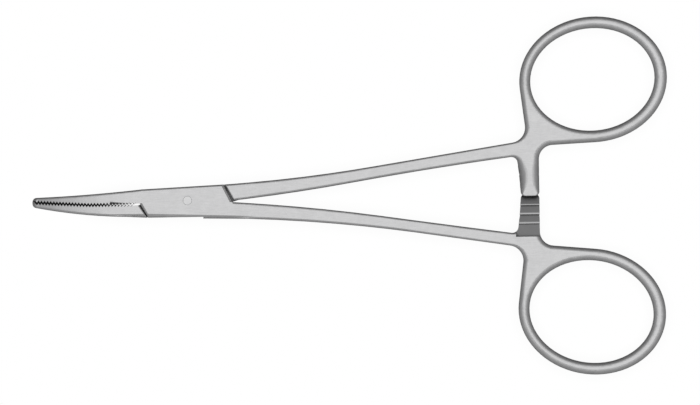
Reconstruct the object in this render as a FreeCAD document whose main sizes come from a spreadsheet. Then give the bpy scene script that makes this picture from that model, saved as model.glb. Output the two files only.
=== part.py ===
# Curved mosquito haemostat with box lock, finger rings and ratchet, in millimetres.
# +X runs from the jaw tips to the finger rings, +Z up, and the pivot pin stands on the origin.
# The slotted half has its jaw on the +Y side and its shank and ring on the -Y side.
import FreeCAD, Part
import math
import os
import re
import Sketcher
from FreeCAD import Placement, Rotation, Vector

doc = FreeCAD.newDocument("Haemostat")
sheet = doc.addObject("Spreadsheet::Sheet", "Sizes")

# Driving dimensions: alias, value, meaning
SIZES = [
    # Box lock
    ("box_thick", 3.6, "thickness of the box, both plates and the slot"),
    ("box_root", 9.0, "pin to the end of the flat box at the jaws"),
    ("box_end", 12.0, "pin to the end of the flat box at the shanks"),
    ("pin_diameter", 1.74, "pivot pin"),
    ("pin_break", 0.04, "broken edge at both ends of the pin"),
    ("pin_clearance", 0.03, "radial running clearance of the pin in the tongue"),
    ("tongue_thick", 1.3, "thin part of the plain half inside the slot"),
    ("face_clearance", 0.03, "tongue to each plate"),
    ("side_clearance", 0.06, "tongue to the end walls of the slot"),
    ("hub_upper", 2.6, "pin to the upper flanks of the tongue"),
    ("hub_lower", 3.15, "pin to the lower flanks of the tongue"),
    ("rake_upper", 20.3, "slope of the tongue's flank towards the jaws, degrees"),
    ("rake_lower", 18.0, "slope of the tongue's flank towards the shanks, degrees"),
    ("rise_upper", 3.5, "slope of the tongue's flank along the top of the box, degrees"),
    ("window_half", 3.1, "pin to the end of the side windows of the box"),
    ("window_relief", 3.28, "pin to the relieved lower edge of the plates"),
    ("bevel", 0.42, "width of the bevel on the end edges of the plates"),
    ("bevel_fall", 0.34, "height of that bevel"),
    ("shoulder_break", 0.16, "chamfer on the shoulders beside the plates"),
    # Plates, measured from the pin
    ("plate_top_root", 2.32, "height of the box's upper edge at the jaw root"),
    ("plate_jaw_top", 9.42, "jaw end of the plates, at the parting line"),
    ("plate_jaw_low", 7.8, "jaw end of the plates, at the lower edge"),
    ("plate_low_edge", 3.36, "lower edge of the box at the jaw root"),
    ("plate_shank_top", 7.12, "shank end of the plates, at the upper edge"),
    ("plate_shank_low", 8.85, "shank end of the plates, at the crotch"),
    ("plate_top_edge", 3.05, "upper edge of the box at its shank end"),
    ("jaw_shoulder_gap", 0.2, "plates to the shoulder of the plain jaw"),
    ("shank_shoulder_gap", 0.4, "plates to the shoulder of the plain shank"),
    ("crotch_upper", 0.12, "inner edge of the plain shank at the crotch, below the axis"),
    ("crotch_lower", 0.45, "inner edge of the slotted shank at the crotch, below the axis"),
    # Jaws
    ("tip_reach", 30.65, "pin to the jaw tips"),
    ("tip_thick", 1.53, "thickness of the jaws at the tips, square to their curve"),
    ("under_radius", 40.0, "radius of the jaws' convex face"),
    ("upper_tip_half", 0.93, "half width of the slotted half's jaw at the tip"),
    ("upper_back_radius", 300.0, "hollow back of the slotted half's jaw seen from above"),
    ("lower_tip_half", 0.86, "half width of the plain half's jaw at the tip"),
    ("lower_back_half", 3.06, "back of the plain jaw where its curve begins"),
    ("lower_back_reach", 12.0, "pin to the start of that curve"),
    ("lower_back_radius", 100.0, "full back of the plain jaw seen from above"),
    ("tip_round", 0.88, "rounding of the tips seen from above"),
    ("parting_tip", 0.06, "parting line above the axis at the tips"),
    ("parting_low", 0.62, "parting line below the axis along the jaws"),
    ("parting_reach", 19.5, "pin to the bend of the parting line"),
    ("gap_tip", 0.2, "jaws apart at the tips when closed"),
    ("gap_mid", 0.36, "jaws apart at the bend of the parting line"),
    ("gap_root", 0.4, "jaws apart at the box"),
    ("root_relief", 1.15, "plain stretch between the serrations and the box"),
    ("serration_pitch", 0.65, "one serration to the next along the jaw"),
    ("serration_depth", 0.42, "depth of a serration"),
    ("serration_land", 0.05, "flat left on the crest of a serration"),
    # Shanks, heights measured from the axis
    ("outer_box_upper", 3.36, "outer edge of the plain shank at the box"),
    ("outer_box_lower", 3.80, "outer edge of the slotted shank at the box"),
    ("bend_x_upper", 37.0, "pin to the end of the plain shank's outer curve"),
    ("bend_y_upper", 6.2, "outer edge of the plain shank there"),
    ("bend_radius_upper", 290.0, "radius of that curve"),
    ("bend_x_lower", 45.0, "pin to the end of the slotted shank's outer curve"),
    ("bend_y_lower", 7.0, "outer edge of the slotted shank there"),
    ("bend_radius_lower", 320.0, "radius of that curve"),
    ("waist_x_upper", 33.0, "pin to the turn of the plain shank's inner edge"),
    ("waist_y_upper", 3.1, "inner edge of the plain shank there"),
    ("waist_x_lower", 38.0, "pin to the turn of the slotted shank's inner edge"),
    ("waist_y_lower", 3.58, "inner edge of the slotted shank there"),
    ("heel_radius", 370.0, "radius of the inner edges from the crotch to that turn"),
    ("waist_radius_upper", 730.0, "radius of the plain shank's inner edge past the turn"),
    ("waist_radius_lower", 2500.0, "radius of the slotted shank's inner edge past the turn"),
    ("shank_round", 0.48, "rounding of the long edges of jaw, box and shank"),
    ("taper_end", 45.0, "pin to the point where the shanks taper evenly"),
    ("taper_radius", 3000.0, "radius that leads from the flat box into the taper"),
    # Finger rings
    ("ring_x_upper", 80.3, "pin to the centre of the plain half's ring"),
    ("ring_y_upper", 22.7, "axis to the centre of the plain half's ring"),
    ("ring_tilt_upper", 5.3, "tilt of the plain half's ring, degrees"),
    ("ring_x_lower", 79.45, "pin to the centre of the slotted half's ring"),
    ("ring_y_lower", 23.13, "axis to the centre of the slotted half's ring"),
    ("ring_tilt_lower", 8.9, "tilt of the slotted half's ring, degrees"),
    ("ring_long", 24.6, "finger hole, long way"),
    ("ring_wide", 20.2, "finger hole, short way"),
    ("ring_wall", 2.3, "wall of the rings"),
    ("ring_shift", 0.15, "outer oval further from the ratchet than the hole"),
    ("ring_round", 1.0, "rounding of the rings' edges"),
    ("neck_x_upper", 67.2, "outer corner between the plain shank and its ring"),
    ("neck_y_upper", 10.9, "height of that corner"),
    ("neck_x_lower", 66.5, "outer corner between the slotted shank and its ring"),
    ("neck_y_lower", 10.3, "height of that corner"),
    ("neck_round", 3.0, "rounding of those corners"),
    # Ratchet
    ("bar_root_x", 65.15, "pin to the ratchet bars at their roots, jaw side"),
    ("bar_tip_x", 65.9, "pin to the ratchet bars at their tips, jaw side"),
    ("bar_wide", 3.6, "width of a ratchet bar at its tip"),
    ("bar_fork_upper", 7.75, "inner edge of the plain shank at its ratchet bar"),
    ("bar_fork_lower", 7.52, "inner edge of the slotted shank at its ratchet bar"),
    ("bar_saddle", 9.75, "underside of the rings beside the ratchet bars"),
    ("fork_round", 1.2, "rounding between inner edge and ratchet bar"),
    ("saddle_round", 2.8, "rounding between ratchet bar and ring"),
    ("bar_tip_upper", 0.14, "plain half's bar reaches this far past the axis"),
    ("bar_tip_lower", 0.26, "slotted half's bar reaches this far past the axis"),
    ("bar_full", 0.88, "rounding of a bar's long edges, as a share of half its thickness"),
    ("bar_tip_round", 0.9, "rounding of a bar's outer corner"),
    ("bar_tip_break", 0.85, "rounding of a bar's inner corner"),
    ("bar_tip_soft", 0.75, "rounding of a bar's long edges at its tip"),
    ("bar_end_soft", 0.15, "rounding of a bar's end edge"),
    ("ratchet_lead", 2.18, "tip of a bar to its first tooth"),
    ("ratchet_pitch", 1.82, "one ratchet tooth to the next"),
    ("ratchet_height", 0.42, "height of a ratchet tooth"),
    ("ratchet_back", 0.14, "length of a tooth's steep flank"),
    ("ratchet_thin", 0.5, "face of a bar's tip behind the middle plane"),
    ("ratchet_run", 8.4, "length of the milled face of a bar"),
]
RATCHET_TEETH = 3
SOLID_REACH = 60.0

for row, (alias, number, meaning) in enumerate(SIZES, start=1):
    sheet.set("A%d" % row, meaning)
    sheet.set("B%d" % row, str(number))
    sheet.setAlias("B%d" % row, alias)
doc.recompute()

ALIASES = {alias for alias, number, meaning in SIZES}


def bound(formula):
    """Turn a formula of plain aliases into an expression on the sheet."""
    return re.sub(r"[a-z_]+", lambda word: "Sizes." + word[0] if word[0] in ALIASES else word[0], formula)


def value(formula):
    """The number that a formula of aliases gives now."""
    return float(sheet.evalExpression(bound(formula)))


# Sketches and solids

FLAT = Rotation()
STANDING = Rotation(Vector(1, 0, 0), 90)
ACROSS = Rotation(Vector(1, 1, 1), 120)


def outline(name, corners, turn=FLAT, arcs=None):
    """Closed sketch through corners, each a pair of formulas; arcs maps a side to its radius."""
    sketch = doc.addObject("Sketcher::SketchObject", name)
    sketch.Placement = Placement(Vector(), turn)
    points = [Vector(value(x), value(y), 0) for x, y in corners]
    arcs = arcs or {}
    for side, start in enumerate(points):
        end = points[(side + 1) % len(points)]
        if side in arcs:
            sketch.addGeometry(arc_between(start, end, value(arcs[side])))
        else:
            sketch.addGeometry(Part.LineSegment(start, end))
    # An arc runs anticlockwise, so it starts at this corner or at the next one
    first = {side: arc_start(sketch, side, points) for side in range(len(points))}
    for side in range(len(points)):
        after = (side + 1) % len(points)
        sketch.addConstraint(
            Sketcher.Constraint("Coincident", side, 3 - first[side], after, first[after])
        )
    for side, (x, y) in enumerate(corners):
        for kind, formula in (("DistanceX", x), ("DistanceY", y)):
            number = sketch.addConstraint(
                Sketcher.Constraint(kind, -1, 1, side, first[side], value(formula))
            )
            sketch.renameConstraint(number, "%s_%d" % (kind[-1], side))
            sketch.setExpression("Constraints.%s_%d" % (kind[-1], side), bound(formula))
    for side, radius in arcs.items():
        number = sketch.addConstraint(Sketcher.Constraint("Radius", side, abs(value(radius))))
        sketch.renameConstraint(number, "R_%d" % side)
        sketch.setExpression("Constraints.R_%d" % side, bound("abs(%s)" % radius))
    return sketch


def arc_start(sketch, side, points):
    """Which end of a side, 1 or 2, lies on its own corner."""
    return 1 if sketch.getPoint(side, 1).distanceToPoint(points[side]) < 1e-6 else 2


def arc_between(start, end, radius):
    """Short arc from start to end, to the left of the chord if the radius is negative."""
    chord = end - start
    middle = (start + end) * 0.5
    sagitta = abs(radius) - math.sqrt(radius ** 2 - (chord.Length / 2) ** 2)
    sideways = Vector(chord.y, -chord.x, 0).normalize() * math.copysign(sagitta, radius)
    return Part.Arc(start, middle + sideways, end)


def extrude(name, base, direction, length, start="0"):
    """Solid from a closed outline, between start and start + length along the direction."""
    solid = doc.addObject("Part::Extrusion", name)
    solid.Base = base
    solid.DirMode = "Custom"
    solid.Dir = direction
    solid.Solid = True
    solid.setExpression("LengthFwd", bound("(%s) + (%s)" % (start, length)))
    solid.setExpression("LengthRev", bound("-(%s)" % start))
    return solid


def combine(kind, name, *parts):
    """Boolean of two or more solids: Cut, Common or MultiFuse."""
    solid = doc.addObject("Part::" + kind, name)
    if kind == "MultiFuse":
        solid.Shapes = list(parts)
    else:
        solid.Base, solid.Tool = parts
    doc.recompute()
    return solid


def round_corners(name, base, corners, axis=Vector(0, 0, 1)):
    """Fillet the edges along axis that stand on corners: pairs of (x, y, z) formulas and a radius."""
    doc.recompute()
    along = [
        (number, edge) for number, edge in enumerate(base.Shape.Edges, start=1)
        if edge.Curve.TypeId == "Part::GeomLine"
        and abs(abs(edge.tangentAt(edge.FirstParameter).dot(axis)) - 1) < 1e-6
    ]
    chosen = []
    for place, radius in corners:
        point = Vector(*[value(part) for part in place])
        reach = lambda pair: (pair[1].CenterOfMass - point).cross(axis).Length
        number, edge = min(along, key=reach)
        if reach((number, edge)) > 0.01:
            raise ValueError("%s has no edge at %s" % (name, place))
        chosen.append((number, value(radius), value(radius)))
    solid = doc.addObject("Part::Fillet", name)
    solid.Base = base
    solid.Edges = chosen
    doc.recompute()
    return solid


def normal_beside(face, point):
    """Outward normal of a face at a point on its border."""
    u, v = face.Surface.parameter(point)
    return face.normalAt(u, v)


def soften_rims(name, base, radius_at):
    """Round the edges between a broad face and a side; radius_at gives the radius or None."""
    doc.recompute()
    shape = base.Shape
    onward = []
    backward = []
    for number, edge in enumerate(shape.Edges, start=1):
        halfway = (edge.FirstParameter + edge.LastParameter) / 2
        middle = edge.valueAt(halfway)
        normals = [normal_beside(face, middle) for face in shape.ancestorsOfType(edge, Part.Face)]
        broad = [normal for normal in normals if abs(normal.z) > 0.7]
        sides = [normal for normal in normals if abs(normal.z) < 0.2]
        if len(broad) != 1 or len(sides) != 1:
            continue
        start = radius_at(middle, sides[0], edge.valueAt(edge.FirstParameter))
        end = radius_at(middle, sides[0], edge.valueAt(edge.LastParameter))
        if start is None:
            continue
        # A radius that changes along a rim does so in the direction of the rim's first edge
        if sides[0].cross(edge.tangentAt(halfway)).z * broad[0].z > 0:
            onward.append((number, start, end))
        else:
            backward.append((number, end, start))
    solid = doc.addObject("Part::Fillet", name)
    solid.Base = base
    solid.Edges = onward + backward
    doc.recompute()
    return solid


# Side elevation shared by both halves

MIDDLE = "box_thick / 2"
PAST_RINGS = "ring_x_upper + ring_long"
TALL = "box_thick * 4"
SUNK = "-box_thick"


# The convex face is an arc from the flat of the box; the end face stands square on it at the tip
TIP_SLOPE = "asin((tip_reach - box_root) / under_radius)"
TIP_LOW = "(under_radius - sqrt(under_radius^2 - (tip_reach - box_root)^2))"
TIP_TOP = "(%s + tip_thick * cos(%s))" % (TIP_LOW, TIP_SLOPE)
TIP_TOP_REACH = "(tip_reach - tip_thick * sin(%s))" % TIP_SLOPE

# The concave face is the arc that leaves the box level and reaches the top of the end face
OVER_RADIUS = "(((%s - box_root)^2 + (%s - box_thick)^2) / (2 * (%s - box_thick)))" % (
    TIP_TOP_REACH, TIP_TOP, TIP_TOP
)

TAPER_RUN = "(taper_end - box_end)"
TAPER_DROP = "(taper_radius - sqrt(taper_radius^2 - %s^2))" % TAPER_RUN


def drop_at(reach):
    """How much lower than the box's faces the tapered faces lie at a reach past the taper's arc."""
    return "(%s + (%s - taper_end) * tan(asin(%s / taper_radius)))" % (TAPER_DROP, reach, TAPER_RUN)


def elevation():
    """Everything between the convex and the concave side of the whole instrument."""
    corners = [
        ("-tip_reach", TIP_LOW),
        ("-box_root", "0"),
        ("box_end", "0"),
        ("taper_end", TAPER_DROP),
        (PAST_RINGS, drop_at(PAST_RINGS)),
        (PAST_RINGS, "box_thick - " + drop_at(PAST_RINGS)),
        ("taper_end", "box_thick - " + TAPER_DROP),
        ("box_end", "box_thick"),
        ("-box_root", "box_thick"),
        ("-" + TIP_TOP_REACH, TIP_TOP),
    ]
    arcs = {0: "under_radius", 2: "-taper_radius", 6: "-taper_radius", 8: "-" + OVER_RADIUS}
    sketch = outline("Elevation", corners, STANDING, arcs)
    return extrude("Elevation body", sketch, Vector(0, 1, 0), str(2 * SOLID_REACH), str(-SOLID_REACH))


# Plan outlines

def part_line(reach, height, gap, side):
    """Corner on the parting face of the upper (1) or lower (-1) jaw, at the crests of the teeth."""
    return ("-(%s)" % reach, "%s + %d * (%s - serration_depth) / 2" % (height, side, gap))


def relief_line(reach, side):
    """Corner on the plain stretch of the parting face beside the box."""
    return ("-(%s)" % reach, "-parting_low + %d * gap_root / 2" % side)


def touch(half, sign, x, y, turn):
    """Point where the line from (x, y) touches the outer oval of a ring; turn is 1 or -1."""
    names = {
        "cx": "(ring_x_%s + ring_shift)" % half, "cy": "(%d * ring_y_%s)" % (sign, half),
        "ct": "cos(ring_tilt_%s)" % half, "st": "(%d * sin(ring_tilt_%s))" % (sign, half),
        "a": "(ring_long / 2 + ring_wall)", "b": "(ring_wide / 2 + ring_wall)", "x": x, "y": y,
    }
    across = "((((%(x)s) - %(cx)s) * %(ct)s + ((%(y)s) - %(cy)s) * %(st)s) / %(a)s)" % names
    upward = "((((%(y)s) - %(cy)s) * %(ct)s - ((%(x)s) - %(cx)s) * %(st)s) / %(b)s)" % names
    angle = "(atan2(%s; %s) + %d * acos(1 / hypot(%s; %s)))" % (upward, across, turn, across, upward)
    names["u"] = angle
    return (
        "%(cx)s + %(a)s * cos(%(u)s) * %(ct)s - %(b)s * sin(%(u)s) * %(st)s" % names,
        "%(cy)s + %(a)s * cos(%(u)s) * %(st)s + %(b)s * sin(%(u)s) * %(ct)s" % names,
    )


def shank_corners(half, sign):
    """Outline of shank, ring stem and ratchet bar, from the outer box corner round to the heel."""
    def at(x, y):
        return (x, "%d * (%s)" % (sign, y))
    neck = at("neck_x_" + half, "neck_y_" + half)
    saddle = at("bar_tip_x + bar_wide", "bar_saddle")
    return [
        at("box_end", "outer_box_" + half),
        at("bend_x_" + half, "bend_y_" + half),
        neck,
        touch(half, sign, neck[0], neck[1], -sign),
        at("ring_x_" + half, "ring_y_" + half),
        touch(half, sign, saddle[0], saddle[1], sign),
        saddle,
        at("bar_tip_x + bar_wide", "-bar_tip_" + half),
        at("bar_tip_x", "-bar_tip_" + half),
        at("bar_root_x", "bar_fork_" + half),
        at("waist_x_" + half, "waist_y_" + half),
    ]


def shank_arcs(half, sign):
    """Sides of that outline that are arcs, and their radii; the last side ends at the crotch."""
    return {
        0: "%d * bend_radius_%s" % (sign, half),
        9: "%d * waist_radius_%s" % (sign, half),
        10: "%d * heel_radius" % -sign,
    }


def shank_rounds(corners):
    """Rounded corners of that outline, seen from above."""
    radii = {
        2: "neck_round", 6: "saddle_round", 7: "bar_tip_round", 8: "bar_tip_break", 9: "fork_round",
    }
    return [(corners[number] + ("0",), radius) for number, radius in radii.items()]


def oval(name, half, sign, grow, shift):
    """Upright oval prism at a finger ring."""
    edge = doc.addObject("Part::Ellipse", name + " oval")
    edge.Placement = Placement(Vector(), Rotation(Vector(0, 0, 1), 1))
    edge.setExpression("MajorRadius", bound("ring_long / 2 + " + grow))
    edge.setExpression("MinorRadius", bound("ring_wide / 2 + " + grow))
    edge.setExpression("Placement.Base.x", bound("ring_x_%s + %s" % (half, shift)))
    edge.setExpression("Placement.Base.y", bound("%d * ring_y_%s" % (sign, half)))
    edge.setExpression("Placement.Rotation.Angle", bound("%d * ring_tilt_%s" % (sign, half)))
    return extrude(name, edge, Vector(0, 0, 1), TALL, SUNK)


def arm_body(half, sign, front, front_arcs, body):
    """Shank, ring and ratchet bar of one half, joined to the corners of its front end."""
    corners = shank_corners(half, sign)
    arcs = shank_arcs(half, sign)
    arcs.update({len(corners) + side: radius for side, radius in front_arcs.items()})
    plan = extrude(
        half + " plan", outline(half + " outline", corners + front, FLAT, arcs),
        Vector(0, 0, 1), TALL, SUNK,
    )
    ring = oval(half + " ring", half, sign, "ring_wall", "ring_shift")
    joined = combine("MultiFuse", half + " plan with ring", plan, ring)
    rounded = round_corners(half + " plan rounded", joined, shank_rounds(corners))
    hole = oval(half + " hole", half, sign, "0", "0")
    return combine("Common", half + " body", combine("Cut", half + " plan holed", rounded, hole), body)


def rim_radius(half):
    """Rule for the rounding of one half's long edges: small on the shank, larger on ring and bar."""
    neck = value("neck_y_" + half)
    bar = value("bar_root_x - fork_round / 2")
    bar_tip = value("bar_tip_x - ring_round")
    sign = -1 if half == "lower" else 1
    past_axis = value("bar_tip_" + half)
    saddle = value("bar_saddle - saddle_round / 2")
    bar_round = value("bar_full * (%s - %s)" % (MIDDLE, drop_at("(bar_tip_x + bar_wide)")))
    jaw_end = -value("plate_jaw_top")

    def rule(middle, side, point):
        away = side.y if half == "lower" else -side.y
        if middle.x < jaw_end and away < 0.5:
            return None
        if middle.x < value("box_end") and abs(side.x) > 0.4 and middle.x > jaw_end:
            return None
        from_end = sign * point.y + past_axis
        if point.x > bar_tip and from_end < value("bar_tip_break / 2"):
            return value("bar_end_soft")
        if point.x > bar_tip and from_end < value("bar_tip_round * 2"):
            return value("bar_tip_soft")
        if point.x > bar and abs(point.y) < saddle:
            return bar_round
        if point.x > bar or abs(point.y) > neck:
            return value("ring_round")
        return value("shank_round")
    return rule


def one_face_only(rule, above):
    """The same rule for the rims on one side of the middle plane alone."""
    def face(middle, side, point):
        return rule(middle, side, point) if (middle.z > value(MIDDLE)) == above else None
    return face


def round_tip(name, jaw, side_sign):
    """Round the corner between a jaw's back and its end face, all along the slant of the end."""
    corners = []
    for number, edge in enumerate(jaw.Shape.Edges, start=1):
        middle = edge.valueAt((edge.FirstParameter + edge.LastParameter) / 2)
        normals = [normal_beside(face, middle) for face in jaw.Shape.ancestorsOfType(edge, Part.Face)]
        on_end = any(normal.x < -0.6 and abs(normal.y) < 0.1 for normal in normals)
        on_back = any(normal.y * side_sign > 0.7 for normal in normals)
        if on_end and on_back:
            corners.append((number, value("tip_round"), value("tip_round")))
    solid = doc.addObject("Part::Fillet", name)
    solid.Base = jaw
    solid.Edges = corners
    doc.recompute()
    return solid


def jaw_only(rule, side_sign):
    """The same rule for the back of a jaw, on the side where y has this sign."""
    def front(middle, side, point):
        on_back = middle.x < value("plate_shank_top") and side.y * side_sign > 0 and middle.y * side_sign > 0
        return rule(middle, side, point) if on_back else None
    return front


def block(name, low_x, high_x, low_z, high_z):
    """Box across the whole instrument between two reaches and two heights."""
    solid = doc.addObject("Part::Box", name)
    solid.Width = 2 * SOLID_REACH
    solid.Placement.Base.y = -SOLID_REACH
    solid.setExpression("Placement.Base.x", bound(low_x))
    solid.setExpression("Placement.Base.z", bound(low_z))
    solid.setExpression("Length", bound("(%s) - (%s)" % (high_x, low_x)))
    solid.setExpression("Height", bound("(%s) - (%s)" % (high_z, low_z)))
    return solid


def mirrored_arm(half, arm, from_x, above):
    """Half of an arm above or below the middle plane, behind from_x, and its mirror image."""
    low, high = (MIDDLE, "2 * box_thick") if above else ("-box_thick", MIDDLE)
    space = block(half + " arm half space", from_x, PAST_RINGS, low, high)
    near = combine("Common", half + " arm face", arm, space)
    far = doc.addObject("Part::Mirroring", half + " arm other face")
    far.Source = near
    far.Normal = Vector(0, 0, 1)
    far.setExpression("Base.z", bound(MIDDLE))
    doc.recompute()
    return near, far


def plate_end(which, height):
    """Reach of the plates' jaw or shank end at a height."""
    if which == "jaw":
        high, low = ("-plate_jaw_top", "-parting_low + gap_root / 2"), ("-plate_jaw_low", "-plate_low_edge")
    else:
        high, low = ("plate_shank_top", "plate_top_edge"), ("plate_shank_low", "-crotch_lower")
    lean = "((%s) - (%s)) / ((%s) - (%s))" % (high[0], low[0], high[1], low[1])
    return "(%s) + ((%s) - (%s)) * %s" % (low[0], height, low[1], lean)


def bevel_spaces(name, corners, fall, width):
    """What a bevel takes off around an outline, at the upper and the lower face of the box."""
    spaces = []
    for face, start, upward in (("top", "box_thick - (%s)" % fall, 1), ("bottom", fall, -1)):
        sketch = outline("%s %s outline" % (name, face), corners)
        sketch.setExpression("Placement.Base.z", bound(start))
        space = extrude("%s %s" % (name, face), sketch, Vector(0, 0, upward), "2 * (%s)" % fall)
        space.setExpression("TaperAngle", bound("atan((%s) / (%s))" % (width, fall)))
        spaces.append(space)
    return spaces


def along_jaw(reach, at_tip, at_bend, at_root):
    """A size that changes evenly from the tips to the bend of the parting line and on to the box."""
    tip, bend, root = value("tip_reach"), value("parting_reach"), value("box_root")
    if reach > bend:
        return at_bend + (at_tip - at_bend) * (reach - bend) / (tip - bend)
    return at_root + (at_bend - at_root) * (reach - root) / (bend - root)


def serrations(name, side):
    """V grooves across the parting face of the upper (1) or lower (-1) jaw, square to its curve."""
    pitch, depth = value("serration_pitch"), value("serration_depth")
    half_wide = "(serration_pitch - serration_land) / 2"
    # The upright sides let the mouth reach past crests that follow the slope of the parting line
    past = "%d * -serration_depth / 2" % side
    corners = [
        ("-%s" % half_wide, "0"), ("-%s" % half_wide, past), (half_wide, past), (half_wide, "0"),
        ("0", "%d * serration_depth" % side),
    ]
    groove = extrude(
        name + " groove", outline(name + " outline", corners), Vector(0, 0, 1),
        "2 * box_thick", "-box_thick / 2",
    )
    doc.recompute()
    root = Vector(-value("box_root"), 0, 0)
    centre = value("(under_radius + %s + box_thick) / 2" % OVER_RADIUS)
    radius = centre - value(MIDDLE)
    # The grooves of one jaw face the crests of the other, and the last one may run off the tip
    run = value("plate_jaw_top + root_relief - box_root") + (pitch / 2 if side > 0 else 0)
    grooves = []
    while radius * math.sin((run - pitch) / radius) < value("tip_reach - box_root"):
        reach = value("box_root") + radius * math.sin(run / radius)
        height = along_jaw(reach, value("parting_tip"), -value("parting_low"), -value("parting_low"))
        gap = along_jaw(reach, value("gap_tip"), value("gap_mid"), value("gap_root"))
        copy = groove.Shape.copy()
        copy.translate(root + Vector(0, height + side * (gap - depth) / 2, 0))
        copy.rotate(root + Vector(0, 0, centre), Vector(0, 1, 0), math.degrees(run / radius))
        grooves.append(copy)
        run += pitch
    row = doc.addObject("Part::Feature", name)
    row.Shape = Part.makeCompound(grooves)
    return row


def ratchet_space(half, sign):
    """Space in front of a ratchet bar's teeth; the other half's bar moves in it."""
    def at(run, rise):
        return ("%d * (%s - bar_tip_%s)" % (sign, run, half), "%s + %d * (%s)" % (MIDDLE, -sign, rise))
    corners = [at("-ratchet_lead", "-ratchet_thin"), at("0", "-ratchet_thin")]
    for tooth in range(RATCHET_TEETH):
        crest = "ratchet_lead + %d * ratchet_pitch" % tooth
        corners.append(at(crest, "ratchet_height / 2"))
        corners.append(at(crest + " + ratchet_back", "-ratchet_height / 2"))
    corners += [
        at("ratchet_run", "-ratchet_height / 2"),
        at("ratchet_run", "box_thick"),
        at("-ratchet_lead", "box_thick"),
    ]
    sketch = outline("ratchet outline " + half, corners, ACROSS)
    return extrude(
        "ratchet space " + half, sketch, Vector(1, 0, 0),
        "bar_tip_x + bar_wide - bar_root_x + fork_round", "bar_root_x - fork_round / 3",
    )


# Slotted half: upper jaw, box, lower shank, ring and ratchet bar

def slotted_blank(body):
    """The slotted half with its long edges rounded, before the slot is cut."""
    front = [
        ("plate_shank_low", "-crotch_lower"),
        ("plate_shank_top", "plate_top_edge"),
        ("-box_root", "plate_top_root"),
        ("-tip_reach", "upper_tip_half"),
        part_line("tip_reach", "parting_tip", "gap_tip", 1),
        part_line("parting_reach", "-parting_low", "gap_mid", 1),
        part_line("plate_jaw_top + root_relief", "-parting_low", "gap_root", 1),
        relief_line("plate_jaw_top + root_relief", 1),
        relief_line("plate_jaw_top", 1),
        ("-plate_jaw_low", "-plate_low_edge"),
    ]
    whole = arm_body("lower", -1, front, {2: "-upper_back_radius"}, body)
    rule = rim_radius("lower")
    arm_space = block("lower arm space", "-box_root", PAST_RINGS, "-box_thick", "2 * box_thick")
    arm = soften_rims(
        "lower arm rims", combine("Common", "lower arm", whole, arm_space), one_face_only(rule, True)
    )
    above, below = mirrored_arm("lower", arm, "-box_root", True)
    jaw_space = block("upper jaw space", "-2 * tip_reach", "-box_root", "-box_thick", "4 * box_thick")
    jaw = round_tip("upper jaw tip", combine("Common", "upper jaw", whole, jaw_space), 1)
    jaw = soften_rims("upper jaw rims", jaw, jaw_only(rule, 1))
    return combine("MultiFuse", "slotted blank", above, below, jaw)


def slot(name):
    """The space that the tongue turns in, open at both side windows."""
    jaw_side = flank("upper", "side_clearance")
    shank_side = flank("lower", "side_clearance")
    corners = [
        ("-2 * box_root", jaw_side("-2 * box_root")),
        ("-2 * box_root", "-box_thick * 2"),
        ("window_half", "-box_thick * 2"),
        ("window_half", shank_side("window_half")),
        ("2 * box_root", shank_side("2 * box_root")),
        ("2 * box_root", "box_thick * 2"),
        ("-window_half", "box_thick * 2"),
        ("-window_half", jaw_side("-window_half")),
    ]
    height = "tongue_thick + 2 * face_clearance"
    return extrude(
        name, outline(name + " outline", corners), Vector(0, 0, 1), height,
        "%s - (%s) / 2" % (MIDDLE, height),
    )


def flank(which, clearance):
    """Height of the tongue's end flank at a reach, moved out by a clearance."""
    sign = 1 if which == "upper" else -1

    def height(reach):
        return "(%s) * tan(rake_%s) + %d * (hub_%s + %s) / cos(rake_%s)" % (
            reach, which, sign, which, clearance, which
        )
    return height


def slotted_half(body):
    """The slotted half with slot, relieved plates, pin holes, serrations and ratchet teeth."""
    blank = slotted_blank(body)
    jaw_side = [
        ("-2 * box_root", "-parting_low + gap_root / 2 - bevel"),
        ("-2 * box_root", "-2 * box_thick"),
        (plate_end("jaw", "-2 * box_thick"), "-2 * box_thick"),
        (plate_end("jaw", "-parting_low + gap_root / 2 - bevel"), "-parting_low + gap_root / 2 - bevel"),
    ]
    shank_side = [
        ("2 * box_root", "bevel - crotch_lower"),
        ("2 * box_root", "2 * box_thick"),
        (plate_end("shank", "2 * box_thick"), "2 * box_thick"),
        (plate_end("shank", "bevel - crotch_lower"), "bevel - crotch_lower"),
    ]
    bevels = bevel_spaces("plate bevel jaws", jaw_side, "bevel_fall", "bevel")
    bevels += bevel_spaces("plate bevel shanks", shank_side, "bevel_fall", "bevel")
    bevelled = combine("Cut", "bevelled plates", blank, combine("MultiFuse", "plate bevels", *bevels))
    slotted = combine("Cut", "slotted", bevelled, slot("Slot"))
    relief = block("Plate relief", "-box_root", "window_half", "-box_thick", "2 * box_thick")
    relief.setExpression("Placement.Base.y", bound("-window_relief - %s" % (2 * SOLID_REACH)))
    relieved = combine("Cut", "relieved", slotted, relief)
    holed = combine("Cut", "holed", relieved, pin_cylinder("Plate holes", "0"))
    toothed = combine("Cut", "ratchet toothed lower", holed, ratchet_space("lower", -1))
    return combine("Cut", "slotted_half", toothed, serrations("upper serrations", 1))


def pin_cylinder(name, clearance):
    """Upright cylinder on the pivot axis through the whole box."""
    solid = doc.addObject("Part::Cylinder", name)
    solid.setExpression("Radius", bound("pin_diameter / 2 + (%s)" % clearance))
    solid.setExpression("Height", bound("box_thick"))
    return solid


def pivot_pin():
    """Rivet through both plates, its ends broken so that it shows as a ring in each face."""
    blank = pin_cylinder("Pin blank", "0")
    doc.recompute()
    rims = [
        (number, value("pin_break"), value("pin_break"))
        for number, edge in enumerate(blank.Shape.Edges, start=1)
        if edge.Curve.TypeId == "Part::GeomCircle"
    ]
    pin = doc.addObject("Part::Chamfer", "pivot_pin")
    pin.Base = blank
    pin.Edges = rims
    return pin


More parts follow.
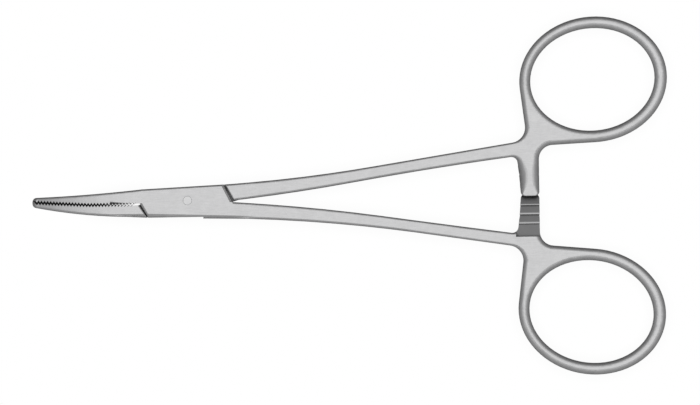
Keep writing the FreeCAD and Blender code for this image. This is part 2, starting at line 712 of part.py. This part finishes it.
# Plain half: lower jaw, tongue, upper shank, ring and ratchet bar

def tongue():
    """Thin part that joins the plain jaw to its shank through the slot."""
    upper = flank("upper", "0")
    lower = flank("lower", "0")
    slope = "tan(rise_upper)"
    top = "(hub_upper / cos(rise_upper))"
    corner_x = "((%s - hub_upper / cos(rake_upper)) / (tan(rake_upper) - %s))" % (top, slope)
    heel_x = "((hub_lower / cos(rake_lower) - hub_lower) / tan(rake_lower))"
    jaw_end = "-(plate_jaw_top + jaw_shoulder_gap + root_relief)"
    shank_end = "plate_shank_low + shank_shoulder_gap + root_relief"
    corners = [
        (jaw_end, upper(jaw_end)),
        (jaw_end, "-hub_lower"),
        (heel_x, "-hub_lower"),
        (shank_end, lower(shank_end)),
        (shank_end, "%s + (%s) * %s" % (top, shank_end, slope)),
        (corner_x, "%s + %s * %s" % (top, corner_x, slope)),
    ]
    plate = extrude(
        "Tongue plate", outline("Tongue outline", corners), Vector(0, 0, 1), "tongue_thick",
        "%s - tongue_thick / 2" % MIDDLE,
    )
    return round_corners(
        "Tongue", plate,
        [(corners[2] + ("0",), "hub_lower"), (corners[5] + ("0",), "hub_upper")],
    )


def plain_half(body):
    """The plain half: jaw and shank of full thickness, joined by the tongue."""
    jaw_top = "plate_jaw_top + jaw_shoulder_gap"
    jaw_low = "plate_jaw_low + jaw_shoulder_gap"
    jaw_corners = [
        ("-lower_back_reach", "-lower_back_half"),
        ("-(%s)" % jaw_low, "-window_relief"),
        relief_line(jaw_top, -1),
        relief_line(jaw_top + " + root_relief", -1),
        part_line(jaw_top + " + root_relief", "-parting_low", "gap_root", -1),
        part_line("parting_reach", "-parting_low", "gap_mid", -1),
        part_line("tip_reach", "parting_tip", "gap_tip", -1),
        ("-tip_reach", "-lower_tip_half"),
    ]
    sketch = outline("lower jaw outline", jaw_corners, FLAT, {7: "lower_back_radius"})
    plan = extrude("lower jaw plan", sketch, Vector(0, 0, 1), TALL, SUNK)
    rule = rim_radius("upper")
    jaw = round_tip("lower jaw tip", combine("Common", "lower jaw body", plan, body), -1)
    jaw = soften_rims("lower jaw", jaw, jaw_only(rule, -1))
    front = [
        ("plate_shank_low + shank_shoulder_gap", "-crotch_upper"),
        ("plate_shank_top + shank_shoulder_gap", "plate_top_edge"),
    ]
    arm = soften_rims(
        "upper arm rims", arm_body("upper", 1, front, {}, body), one_face_only(rule, False)
    )
    below, above = mirrored_arm("upper", arm, "0", False)
    blank = combine("MultiFuse", "plain blank", above, below, jaw, tongue())
    box_between = [
        ("-(%s)" % jaw_low, "-window_relief"),
        (front[0][0], "-window_relief"),
        front[0],
        front[1],
        ("-(%s)" % jaw_top, front[1][1]),
        relief_line(jaw_top, -1),
    ]
    breaks = bevel_spaces("shoulder break", box_between, "shoulder_break", "shoulder_break")
    broken = combine("Cut", "plain broken", blank, combine("MultiFuse", "shoulder breaks", *breaks))
    bored = combine("Cut", "plain bored", broken, pin_cylinder("Tongue bore", "pin_clearance"))
    toothed = combine("Cut", "ratchet toothed upper", bored, ratchet_space("upper", 1))
    return combine("Cut", "plain_half", toothed, serrations("lower serrations", -1))


# Assembly and files

def finished(name, solid):
    """Give a sub-part its own label and placement."""
    solid.Label = name
    return solid


body = elevation()
SUB_PARTS = [
    finished("female_half", slotted_half(body)),
    finished("male_half", plain_half(body)),
    finished("pivot_pin", pivot_pin()),
]
doc.recompute()

for item in doc.Objects:
    if "Invalid" in item.State or "Error" in item.State:
        raise RuntimeError("%s could not be built" % item.Label)
for item in SUB_PARTS:
    if item.Shape.isNull() or not item.Shape.isValid():
        raise RuntimeError("%s is not a sound solid" % item.Label)

os.makedirs("parts", exist_ok=True)
for item in SUB_PARTS:
    item.Shape.exportStep("parts/%s.step" % item.Label)
    print(item.Label, round(item.Shape.Volume, 2), "mm3", len(item.Shape.Solids), "solid")
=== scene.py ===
"""Curved mosquito haemostat, closed on its first ratchet tooth and lying flat on a white table."""
import math

import bmesh
import bpy
from mathutils import Matrix, Vector

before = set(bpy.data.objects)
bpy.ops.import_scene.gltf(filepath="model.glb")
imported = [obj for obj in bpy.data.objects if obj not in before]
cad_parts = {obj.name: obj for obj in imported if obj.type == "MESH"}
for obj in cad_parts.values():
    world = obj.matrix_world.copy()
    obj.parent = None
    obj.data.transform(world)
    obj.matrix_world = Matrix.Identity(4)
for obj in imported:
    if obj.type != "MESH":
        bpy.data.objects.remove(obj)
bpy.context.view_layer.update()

MM = 0.001

# Framing, in millimetres and degrees: +X to the finger rings, +Y up in the picture
FRAME_WIDE = 138.23
FRAME_MIDDLE = (32.085, -0.88, 1.8)
FRAME_TURN = -0.87
LENS, SENSOR = 500.0, 36.0
CLIP_START, CLIP_END = 0.05, 20.0

# Tent of light around the instrument: brightness overhead, and how the rest changes with direction
TOP_LIGHT = 0.56
TOP_EDGE = (34.0, 14.0)
GLOW_LIGHT = 0.22
GLOW_EDGE = (60.0, 20.0)
TOP_LEAN = (2.0, 9.5)
TENT_MIDDLE = 0.26
TENT_UPWARD = 0.15
TENT_FAR = -0.085
TENT_ENDS = 0.06

# Table, in metres: half its width, its drop under the steel, and how dark and wide the shade is
TABLE_HALF = 3.0
TABLE_BELOW = 0.02 * MM
TABLE_SHADE = 0.96
TABLE_SHADE_REACH = 2.5 * MM
TABLE_SHADE_LIMITS, TABLE_SHADE_SAMPLES = (0.35, 1.0), 12

# Steel colours: darkest and lightest of the grain, painted shade on milled faces, painted
# highlight on crests, painted shade in a gap
HALF_STEEL = ((0.52, 0.52, 0.525, 1), (0.68, 0.68, 0.685, 1))
PIN_STEEL = ((0.59, 0.59, 0.595, 1), (0.72, 0.72, 0.725, 1))
PAINTED_MILLED_SHADE = (0.185, 0.185, 0.187, 1)
PAINTED_CREST_HIGHLIGHT = (0.53, 0.53, 0.534, 1)
PAINTED_GAP_SHADE = (0.03, 0.03, 0.03, 1)
ROUGHNESS, ROUGHNESS_CHANGE = 0.34, 0.03

# Satin grain: scales of its noises, and their shares in the tone and in the height
GRAIN_SCALE, GRAIN_DETAIL = 9000.0, 3.0
BRUSHING_SCALE, BRUSHING_DETAIL = (600, 9000, 9000), 3.0
CLOUD_SCALE, CLOUD_DETAIL, CLOUD_ROUGHNESS = 520.0, 6.0, 0.7
GRAIN_TONE, BRUSHING_TONE, CLOUD_TONE = 0.25, 0.30, 0.45
GRAIN_HEIGHT, BRUSHING_HEIGHT = 0.6, 0.4
TONE_RANGE = (0.35, 0.65)
GLOSS_RANGE = (0.3, 0.7)
GRAIN_BUMP, GRAIN_DEEP = 0.12, 0.02 * MM

# Gaps and edges, in metres: reach of the painted shade in a gap, and rounding of sharp edges,
# which is finer around the rivet
GAP_REACH = 0.8 * MM
GAP_LIMITS, GAP_SAMPLES = (0.30, 0.80), 16
EDGE_SAMPLES = 10
EDGE_ROUND, PIN_EDGE_ROUND = 0.05 * MM, 0.01 * MM
PIN_RIM, PIN_RIM_FADE = 1.15 * MM, 0.1 * MM

# Milled faces between the ratchet bars (painted shade) and the crests of their teeth (painted
# highlight), in millimetres
MIDDLE_HEIGHT = 1.8
BARS_X, BARS_Y = (64.6, 70.2), (-8.4, 8.4)
MILLED_BELOW = 0.62
MILLED_FADE = 0.02
MILLED_FACING = (0.25, 0.35)
CREST_HEIGHT, CREST_FADE = 0.135, 0.03

# Parting line of the jaws and the arc that carries the serrations, in millimetres
PARTING = ((-30.65, 0.06), (-19.5, -0.62))
GROOVES_X, GROOVES_FADE = (-31.0, -10.2), 0.01
GROOVE_WIDE = 0.42
GROOVE_PITCH = 0.65
GROOVE_CENTRE_X, GROOVE_CENTRE_Z = -9.0, 49.565
GROOVE_ARC = 47.765
GROOVE_START = 1.57
# Half widths of the painted shade along the serration rims, from the tips to the box, and its
# fades
RIM_HALF = ((-30.65, 0.30), (-17.0, 0.25), (-11.0, 0.20))
RIM_FADE = 0.03
RIM_FACING = (0.6, 0.7)

# Lower edge of box and jaw that rolls away, in millimetres
ROLL_LINE = ((-7.6, -2.51), (12.3, -3.21))
ROLL_WIDE, ROLL_DEEP = 0.80, 0.34
ROLL_START, ROLL_END = (-17.0, -12.0), (9.0, 14.0)
ROLL_FACING = (0.8, 0.9)


# Node trees

def new_group(name, inputs, outputs):
    """Empty shader node group with these inputs and float outputs, and its two end nodes."""
    group = bpy.data.node_groups.new(name, "ShaderNodeTree")
    for label, kind in inputs:
        group.interface.new_socket(name=label, in_out="INPUT", socket_type="NodeSocket" + kind)
    for label in outputs:
        group.interface.new_socket(name=label, in_out="OUTPUT", socket_type="NodeSocketFloat")
    return group, group.nodes.new("NodeGroupInput"), group.nodes.new("NodeGroupOutput")


def marks_group(name, *outputs):
    """Group for marks that follow the place on the object: x, y, z and how far a face looks up."""
    group, inside, out = new_group(
        name, [("Coordinates", "Vector"), ("Facing", "Vector")], outputs,
    )
    place = split(group, inside.outputs["Coordinates"])
    up = split(group, inside.outputs["Facing"])[2]
    return group, place, up, out


def add(tree, kind, **settings):
    """New node with these settings."""
    node = tree.nodes.new("ShaderNode" + kind)
    for key, value in settings.items():
        setattr(node, key, value)
    return node


def feed(tree, socket, value):
    """Give a socket a plain value, or link the output of another node to it."""
    if isinstance(value, bpy.types.NodeSocket):
        tree.links.new(value, socket)
    else:
        socket.default_value = value


def calculated(tree, operation, *values):
    """Result of a Math node."""
    node = add(tree, "Math", operation=operation)
    for socket, value in zip(node.inputs, values):
        feed(tree, socket, value)
    return node.outputs[0]


def difference(tree, first, second):
    """First value less the second."""
    return calculated(tree, "SUBTRACT", first, second)


def size_of(tree, value):
    """Value without its sign."""
    return calculated(tree, "ABSOLUTE", value)


def product(tree, *factors):
    """Factors multiplied with one another."""
    result = factors[0]
    for factor in factors[1:]:
        result = calculated(tree, "MULTIPLY", result, factor)
    return result


def weighted(tree, *pairs):
    """Sum of values that each count by their weight."""
    result = None
    for value, weight in pairs:
        part = product(tree, value, weight)
        result = part if result is None else calculated(tree, "ADD", result, part)
    return result


def ranged(tree, value, low, high, to_low, to_high):
    """Value moved from one range to another and held inside it."""
    node = add(tree, "MapRange", clamp=True)
    for number, given in enumerate((value, low, high, to_low, to_high)):
        feed(tree, node.inputs[number], given)
    return node.outputs[0]


def above(tree, value, fade, unit=1.0):
    """Zero below the range in which the value fades in and one above it."""
    return ranged(tree, value, fade[0] * unit, fade[1] * unit, 0.0, 1.0)


def within(tree, value, ends, fade):
    """One between two ends in millimetres and zero outside them, fading at each."""
    low, high = ends
    rise = above(tree, value, (low - fade, low + fade), MM)
    fall = ranged(tree, value, (high - fade) * MM, (high + fade) * MM, 1.0, 0.0)
    return product(tree, rise, fall)


def along(tree, x, start, end):
    """Height over x of a straight line between two points in millimetres, level beyond them."""
    return ranged(tree, x, start[0] * MM, end[0] * MM, start[1] * MM, end[1] * MM)


def split(tree, vector):
    """The three parts of a vector."""
    node = add(tree, "SeparateXYZ")
    feed(tree, node.inputs[0], vector)
    return node.outputs


def mapped(tree, coordinates, scale):
    """Coordinates scaled by a Mapping node."""
    node = add(tree, "Mapping")
    feed(tree, node.inputs["Scale"], scale)
    feed(tree, node.inputs["Vector"], coordinates)
    return node.outputs["Vector"]


def noise(tree, coordinates, scale, detail, roughness=0.5):
    """Value of a noise texture."""
    node = add(tree, "TexNoise")
    for label, value in (
        ("Scale", scale), ("Detail", detail), ("Roughness", roughness), ("Vector", coordinates),
    ):
        feed(tree, node.inputs[label], value)
    return node.outputs["Fac"]


def blend(tree, factor, first, second):
    """Colour that goes from first to second as the factor goes from 0 to 1."""
    node = add(tree, "Mix", data_type="RGBA")
    for label, value in (("Factor", factor), ("A", first), ("B", second)):
        feed(tree, node.inputs[label], value)
    return node.outputs["Result"]


def openness(tree, samples, reach, limits, darkest):
    """One in the open, falling to the darkest value in narrow places."""
    shelter = add(tree, "AmbientOcclusion", samples=samples, only_local=False)
    feed(tree, shelter.inputs["Distance"], reach)
    return ranged(tree, shelter.outputs["AO"], *limits, darkest, 1.0)


# Shared effects of the steel

def satin_grain():
    """Fine blasted grain with faint brushing along X: a tone, a roughness change and a height."""
    group, inside, out = new_group(
        "satin_grain", [("Coordinates", "Vector")], ("Tone", "Gloss", "Height"),
    )
    place = inside.outputs["Coordinates"]
    grain = noise(group, place, GRAIN_SCALE, GRAIN_DETAIL)
    brushing = noise(group, mapped(group, place, BRUSHING_SCALE), 1.0, BRUSHING_DETAIL)
    clouds = noise(group, place, CLOUD_SCALE, CLOUD_DETAIL, CLOUD_ROUGHNESS)
    tone = weighted(
        group, (grain, GRAIN_TONE), (brushing, BRUSHING_TONE), (clouds, CLOUD_TONE),
    )
    height = weighted(group, (grain, GRAIN_HEIGHT), (brushing, BRUSHING_HEIGHT))
    feed(group, out.inputs["Tone"], tone)
    feed(group, out.inputs["Gloss"], above(group, clouds, GLOSS_RANGE))
    feed(group, out.inputs["Height"], height)
    return group


def ratchet_painted_light():
    """Masks of painted shade on the milled faces between the ratchet bars and of a painted
    highlight on the crests of their teeth.
    """
    group, (x, y, z), up, out = marks_group("ratchet_painted_light", "Milled_Shade", "Crest_Highlight")
    height = difference(group, z, MIDDLE_HEIGHT * MM)
    milled = product(
        group,
        within(group, x, BARS_X, MILLED_FADE),
        within(group, y, BARS_Y, MILLED_FADE),
        within(group, height, (-MILLED_BELOW, MILLED_BELOW), MILLED_FADE),
        above(group, size_of(group, up), MILLED_FACING),
    )
    outward = product(group, height, up)
    crest = above(group, outward, (CREST_HEIGHT - CREST_FADE, CREST_HEIGHT + CREST_FADE), MM)
    feed(group, out.inputs["Milled_Shade"], milled)
    feed(group, out.inputs["Crest_Highlight"], product(group, milled, crest))
    return group


def zigzag(group, x, z):
    """Swing of the serrations to the sides; they stand square to the arc of the jaws."""
    turned = calculated(
        group, "ARCTAN2",
        difference(group, GROOVE_CENTRE_X * MM, x), difference(group, GROOVE_CENTRE_Z * MM, z),
    )
    number = difference(
        group, product(group, turned, GROOVE_ARC / GROOVE_PITCH), GROOVE_START / GROOVE_PITCH,
    )
    swing = size_of(group, difference(group, calculated(group, "FRACT", number), 0.5))
    return ranged(group, swing, 0.0, 0.5, GROOVE_WIDE / 2 * MM, -GROOVE_WIDE / 2 * MM)


def rim_half(group, x):
    """Half the width of the painted shade along the rims, which gets finer from the tips to the
    box.
    """
    tip, middle, root = RIM_HALF
    finer = along(group, x, (middle[0], 0.0), (root[0], middle[1] - root[1]))
    return difference(group, along(group, x, tip, middle), finer)


def serration_painted_shade():
    """Mask of painted shade along the zigzag rims of the serrations across the jaws."""
    group, (x, y, z), up, out = marks_group("serration_painted_shade", "Rim_Shade")
    off_line = difference(group, y, along(group, x, *PARTING))
    off_zigzag = size_of(group, difference(group, off_line, zigzag(group, x, z)))
    past_rim = difference(group, off_zigzag, rim_half(group, x))
    rims = product(
        group,
        within(group, x, GROOVES_X, GROOVES_FADE),
        ranged(group, past_rim, -RIM_FADE * MM, RIM_FADE * MM, 1.0, 0.0),
        above(group, size_of(group, up), RIM_FACING),
    )
    feed(group, out.inputs["Rim_Shade"], rims)
    return group


def rolled_edge():
    """Height that falls away to the lower edge of box and jaw, as if they were bevelled there."""
    group, (x, y, _), up, out = marks_group("rolled_edge", "Height")
    below = difference(group, along(group, x, *ROLL_LINE), y)
    height = product(
        group,
        along(group, below, (0.0, 0.0), (ROLL_WIDE, -ROLL_DEEP)),
        above(group, x, ROLL_START, MM),
        ranged(group, x, ROLL_END[0] * MM, ROLL_END[1] * MM, 1.0, 0.0),
        above(group, size_of(group, up), ROLL_FACING),
    )
    feed(group, out.inputs["Height"], height)
    return group


# Materials

def placed(tree, effect, coordinates):
    """Outputs of a shared effect at the place on the object and, where it asks, its facing."""
    node = add(tree, "Group", node_tree=effect)
    feed(tree, node.inputs["Coordinates"], coordinates.outputs["Object"])
    if "Facing" in node.inputs:
        feed(tree, node.inputs["Facing"], coordinates.outputs["Normal"])
    return node.outputs


def steel_colour(tree, colours, grain, marks, serrations):
    """Blasted steel, with painted shade on milled faces, a painted highlight on their crests, and
    painted shade along the serration rims and in gaps.
    """
    colour = blend(tree, above(tree, grain["Tone"], TONE_RANGE), *colours)
    # Painted shade on the milled faces between the ratchet bars
    colour = blend(tree, marks["Milled_Shade"], colour, PAINTED_MILLED_SHADE)
    # Painted highlight on the crests of the ratchet teeth
    colour = blend(tree, marks["Crest_Highlight"], colour, PAINTED_CREST_HIGHLIGHT)
    # Painted shade along the zigzag rims of the serrations
    colour = blend(tree, serrations["Rim_Shade"], colour, PAINTED_GAP_SHADE)
    # Painted shade in gaps and narrow places, where the surface is sheltered
    in_the_open = openness(tree, GAP_SAMPLES, GAP_REACH, GAP_LIMITS, 0.0)
    return blend(tree, in_the_open, PAINTED_GAP_SHADE, colour)


def steel_normal(tree, place, grain, roll):
    """Softened edges, the rolled lower edge and the relief of the grain."""
    # How far a place is from the rivet's axis, seen from above
    from_pin = add(tree, "VectorMath", operation="LENGTH")
    feed(tree, from_pin.inputs[0], mapped(tree, place, (1, 1, 0)))
    soft_edge = add(tree, "Bevel", samples=EDGE_SAMPLES)
    feed(tree, soft_edge.inputs["Radius"], ranged(
        tree, from_pin.outputs["Value"],
        PIN_RIM, PIN_RIM + PIN_RIM_FADE, PIN_EDGE_ROUND, EDGE_ROUND,
    ))
    normal = soft_edge.outputs[0]
    # The roll's height is in metres already, so its bump takes it whole
    for height, strength, distance in (
        (roll["Height"], 1.0, 1.0),
        (grain["Height"], GRAIN_BUMP, GRAIN_DEEP),
    ):
        bump = add(tree, "Bump")
        for label, value in (
            ("Strength", strength), ("Distance", distance), ("Height", height), ("Normal", normal),
        ):
            feed(tree, bump.inputs[label], value)
        normal = bump.outputs["Normal"]
    return normal


def steel(name, effects, colours):
    """Satin stainless steel in which the shared effects are placed."""
    material = bpy.data.materials.new(name)
    material.use_nodes = True
    tree = material.node_tree
    surface = tree.nodes["Principled BSDF"].inputs
    coordinates = add(tree, "TexCoord")
    grain, marks, serrations, roll = (placed(tree, effect, coordinates) for effect in effects)
    feed(tree, surface["Base Color"], steel_colour(tree, colours, grain, marks, serrations))
    feed(tree, surface["Roughness"], ranged(
        tree, grain["Gloss"], 0.0, 1.0, ROUGHNESS - ROUGHNESS_CHANGE, ROUGHNESS + ROUGHNESS_CHANGE,
    ))
    feed(tree, surface["Metallic"], 1.0)
    feed(tree, surface["Normal"], steel_normal(tree, coordinates.outputs["Object"], grain, roll))
    return material


def table_material():
    """White table with a faint shade where the steel lies on it."""
    material = bpy.data.materials.new("white_table")
    material.use_nodes = True
    tree = material.node_tree
    tree.nodes.clear()
    seen = add(tree, "Emission")
    tone = openness(
        tree, TABLE_SHADE_SAMPLES, TABLE_SHADE_REACH, TABLE_SHADE_LIMITS, TABLE_SHADE,
    )
    feed(tree, seen.inputs["Strength"], tone)
    feed(tree, add(tree, "OutputMaterial").inputs["Surface"], seen.outputs[0])
    return material


# Instrument

def dress(node, material):
    """Give a CAD node this material in all its slots."""
    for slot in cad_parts[node].material_slots:
        slot.material = material


def dressed_instrument():
    """The two halves and the rivet in their finishes."""
    effects = (satin_grain(), ratchet_painted_light(), serration_painted_shade(), rolled_edge())
    halves = steel("satin_steel_finish", effects, HALF_STEEL)
    rivet = steel("rivet_steel_finish", effects, PIN_STEEL)
    dress("female_half", halves)
    dress("male_half", halves)
    dress("pivot_pin", rivet)


# Studio

def table():
    """Large plain table just under the instrument."""
    shape = bmesh.new()
    bmesh.ops.create_grid(shape, x_segments=1, y_segments=1, size=TABLE_HALF)
    bmesh.ops.translate(shape, verts=shape.verts, vec=(0, 0, -TABLE_BELOW))
    mesh = bpy.data.meshes.new("table")
    shape.to_mesh(mesh)
    shape.free()
    top = bpy.data.objects.new("table", mesh)
    top.data.materials.append(table_material())
    bpy.context.scene.collection.objects.link(top)
    # The steel mirrors the tent below the horizon too, as its light passes through the table
    top.visible_glossy = False
    top.visible_diffuse = False


def tent_light(tree):
    """Brightness of the tent by direction: a soft top light that leans to the far side."""
    x, y, z = split(tree, add(tree, "TexCoord").outputs["Generated"])
    lean_x, lean_y = (math.tan(math.radians(angle)) for angle in TOP_LEAN)
    aim = Vector((lean_x, lean_y, 1.0)).normalized()
    towards_top = weighted(tree, (z, aim.z), (x, aim.x), (y, aim.y))
    ends = calculated(tree, "MULTIPLY", x, x)
    light = weighted(tree, (z, TENT_UPWARD), (y, TENT_FAR), (ends, TENT_ENDS))
    light = calculated(tree, "ADD", light, TENT_MIDDLE)
    for brightness, edge in ((TOP_LIGHT, TOP_EDGE), (GLOW_LIGHT, GLOW_EDGE)):
        low, high = (math.cos(math.radians(angle)) for angle in edge)
        patch = ranged(tree, towards_top, low, high, 0.0, brightness)
        light = calculated(tree, "ADD", light, patch)
    return light


def room():
    """Light tent that looks plain white to the camera, as the table does."""
    world = bpy.data.worlds.new("room")
    world.use_nodes = True
    tree = world.node_tree
    tree.nodes.clear()
    which = add(tree, "MixShader")
    feed(tree, which.inputs[0], add(tree, "LightPath").outputs["Is Camera Ray"])
    for number, strength in ((1, tent_light(tree)), (2, 1.0)):
        backdrop = add(tree, "Background")
        feed(tree, backdrop.inputs["Color"], (1, 1, 1, 1))
        feed(tree, backdrop.inputs["Strength"], strength)
        feed(tree, which.inputs[number], backdrop.outputs[0])
    feed(tree, add(tree, "OutputWorld").inputs["Surface"], which.outputs[0])
    bpy.context.scene.world = world


def plain_colours():
    """Colours shown as they are, with no film look."""
    view = bpy.context.scene.view_settings
    view.view_transform = "Standard"
    view.look = "None"


def camera():
    """Long lens straight above the instrument, turned a little with it."""
    data = bpy.data.cameras.new("camera")
    data.lens = LENS
    data.sensor_width = SENSOR
    data.clip_start, data.clip_end = CLIP_START, CLIP_END
    holder = bpy.data.objects.new("camera", data)
    away = FRAME_WIDE * MM * LENS / SENSOR
    holder.matrix_world = (
        Matrix.Translation(Vector(FRAME_MIDDLE) * MM)
        @ Matrix.Rotation(math.radians(FRAME_TURN), 4, "Z")
        @ Matrix.Translation((0, 0, away))
    )
    bpy.context.scene.collection.objects.link(holder)
    bpy.context.scene.camera = holder


dressed_instrument()
table()
room()
plain_colours()
camera()
